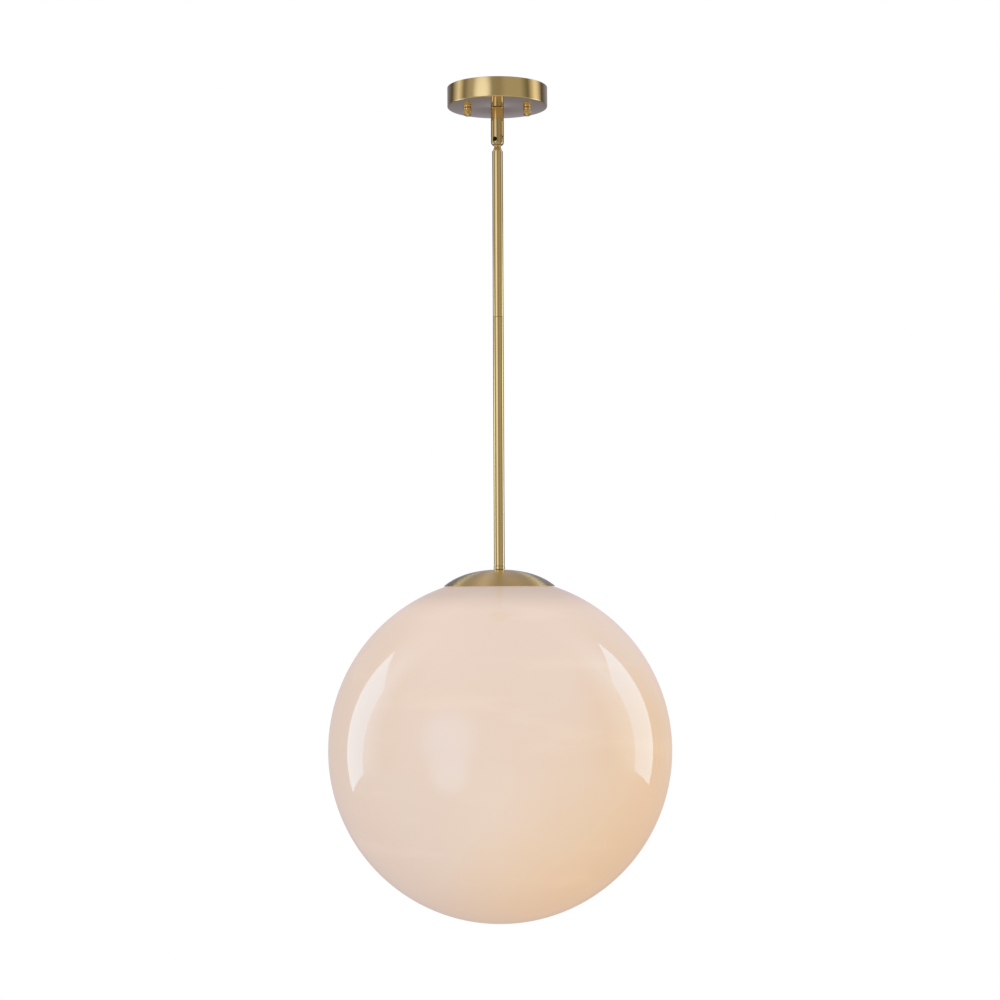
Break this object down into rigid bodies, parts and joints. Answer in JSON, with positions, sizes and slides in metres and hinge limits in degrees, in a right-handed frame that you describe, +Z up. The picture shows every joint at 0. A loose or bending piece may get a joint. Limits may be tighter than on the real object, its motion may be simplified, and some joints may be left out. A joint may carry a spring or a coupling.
{
  "type": "pendant ceiling light",
  "caption": "Opal glass globe pendant on a swivelling brass rod stem with a round ceiling canopy, knurled nuts, inner glass claw, lampholder and bulb.",
  "frame": {"origin": "centre of the mounting bar's top face, in the plane of the ceiling", "axes": "+Z up through the ceiling, so the lamp hangs along -Z; -Y is the front; the mounting bar and its two studs lie along X"},
  "size_m": [0.3998, 0.3998, 0.9786],
  "materials": {
    "brushed_brass": "satin brushed, lacquered",
    "zinc_steel": "zinc plated",
    "green_steel": "green dyed plating",
    "black_steel": "black oxide",
    "nickel": "nickel plated",
    "opal_glass": "glossy opal, blown",
    "silicone": "matt translucent white",
    "phenolic": "moulded, satin",
    "porcelain": "glazed white",
    "white_plastic": "moulded, satin",
    "bulb_diffuser": "frosted",
    "circuit_board": "white solder mask",
    "black_cable": "smooth insulation",
    "white_cable": "smooth insulation",
    "green_cable": "smooth insulation",
    "orange_plastic": "moulded, satin"
  },
  "bodies": {
    "ceiling_fixing": {"mounting_bar": "zinc_steel", "stud_left": "zinc_steel", "stud_right": "zinc_steel", "stud_nut_left": "zinc_steel", "stud_nut_right": "zinc_steel", "ground_screw": "green_steel", "ground_lug": "nickel", "canopy": "brushed_brass", "canopy_lock_washer": "zinc_steel", "canopy_nut": "zinc_steel", "canopy_nipple": "zinc_steel", "lead_line": "black_cable", "lead_neutral": "white_cable", "lead_ground": "green_cable", "wire_nut_line": "orange_plastic", "wire_nut_neutral": "orange_plastic"},
    "thumb_nut_left": {"thumb_nut_left": "brushed_brass"},
    "thumb_nut_right": {"thumb_nut_right": "brushed_brass"},
    "swivel": {"swivel_fork": "brushed_brass", "pivot_screw_front": "black_steel", "pivot_screw_rear": "black_steel"},
    "stem": {"swivel_knuckle": "brushed_brass", "rod_upper": "brushed_brass", "rod_coupler": "zinc_steel", "rod_lower": "brushed_brass", "rod_end_ring": "brushed_brass", "stem_lead_line": "black_cable", "stem_lead_neutral": "white_cable", "holder_nipple": "zinc_steel", "globe_cap": "brushed_brass", "cap_washer": "zinc_steel", "cap_nut": "zinc_steel", "globe_gasket": "silicone", "globe_glass": "opal_glass", "globe_claw": "zinc_steel", "claw_boot_1": "silicone", "claw_boot_2": "silicone", "claw_boot_3": "silicone", "claw_nut": "zinc_steel", "lampholder_cap": "phenolic", "lampholder_body": "phenolic", "lampholder_core": "porcelain", "lampholder_shell": "nickel", "lampholder_contact": "brushed_brass", "terminal_screw_line": "nickel", "terminal_screw_neutral": "nickel"},
    "bulb": {"bulb_contact": "nickel", "bulb_insulator": "phenolic", "bulb_screw_base": "nickel", "bulb_housing": "white_plastic", "bulb_led_board": "circuit_board", "bulb_dome": "bulb_diffuser"}
  },
  "joints": [
    {"name": "swivel_turn", "type": "hinge", "parent": "ceiling_fixing", "child": "swivel", "pos_m": [0, 0, -0.0243], "axis": [0, 0, 1], "range_deg": [-180, 180]},
    {"name": "stem_tilt", "type": "hinge", "parent": "swivel", "child": "stem", "pos_m": [0, 0, -0.0625], "axis": [-0.4067, -0.9135, 0], "range_deg": [-45, 45]},
    {"name": "thumb_nut_left_turn", "type": "hinge", "parent": "ceiling_fixing", "child": "thumb_nut_left", "pos_m": [-0.035, 0, -0.0243], "axis": [0, 0, 1], "continuous": true},
    {"name": "thumb_nut_right_turn", "type": "hinge", "parent": "ceiling_fixing", "child": "thumb_nut_right", "pos_m": [0.035, 0, -0.0243], "axis": [0, 0, 1], "continuous": true},
    {"name": "bulb_turn", "type": "hinge", "parent": "stem", "child": "bulb", "pos_m": [0, 0, -0.64], "axis": [0, 0, 1], "continuous": true}
  ]
}
